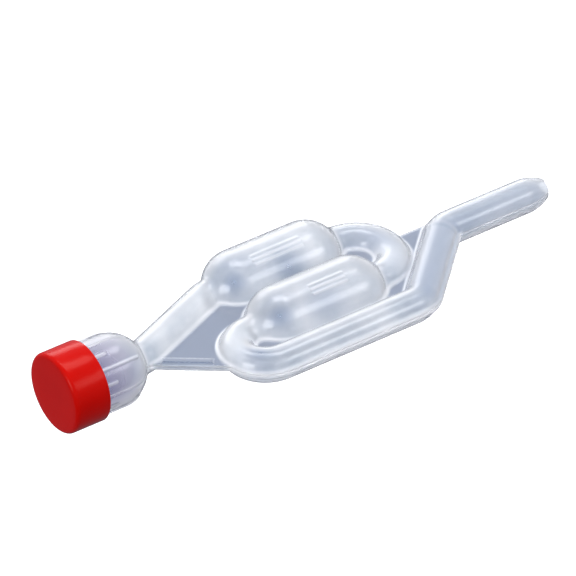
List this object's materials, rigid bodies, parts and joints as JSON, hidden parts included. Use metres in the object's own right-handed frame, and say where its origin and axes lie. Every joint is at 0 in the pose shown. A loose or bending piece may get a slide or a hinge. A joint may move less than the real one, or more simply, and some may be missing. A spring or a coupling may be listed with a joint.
{
  "type": "fermentation airlock",
  "caption": "S-bend fermentation airlock: clear body welded from two half shells, with two domed water chambers in line, a vent cup with a push-on cap, and a straight stem for a bung.",
  "frame": {"origin": "on the stem's axis, halfway along its straight wall, in the plane of the weld", "axes": "+X along the stem towards its tip, +Y towards the chamber that the neck enters, +Z square to the weld plane"},
  "size_m": [0.158, 0.0515, 0.0228],
  "materials": {
    "clear_body": "clear moulded plastic, faint lavender-blue tint",
    "red_cap": "glossy opaque red"
  },
  "bodies": {
    "airlock_body": {"cup_upper": "clear_body", "cup_lower": "clear_body", "foot_upper": "clear_body", "foot_lower": "clear_body", "neck_upper": "clear_body", "neck_lower": "clear_body", "neck_head_upper": "clear_body", "neck_head_lower": "clear_body", "neck_chamber_upper": "clear_body", "neck_chamber_lower": "clear_body", "front_bend_upper": "clear_body", "front_bend_lower": "clear_body", "side_chamber_upper": "clear_body", "side_chamber_lower": "clear_body", "rear_bend_upper": "clear_body", "rear_bend_lower": "clear_body", "side_tube_upper": "clear_body", "side_tube_lower": "clear_body", "side_knee_upper": "clear_body", "side_knee_lower": "clear_body", "riser_upper": "clear_body", "riser_lower": "clear_body", "stem_knee_upper": "clear_body", "stem_knee_lower": "clear_body", "stem_upper": "clear_body", "stem_lower": "clear_body", "rear_web_upper": "clear_body", "rear_web_lower": "clear_body", "front_web_upper": "clear_body", "front_web_lower": "clear_body"},
    "cap": {"cap": "red_cap"}
  },
  "joints": [
    {"name": "cap_slide", "type": "slide", "parent": "airlock_body", "child": "cap", "axis": [-1, 0, 0], "range_m": [0, 0.03]}
  ]
}
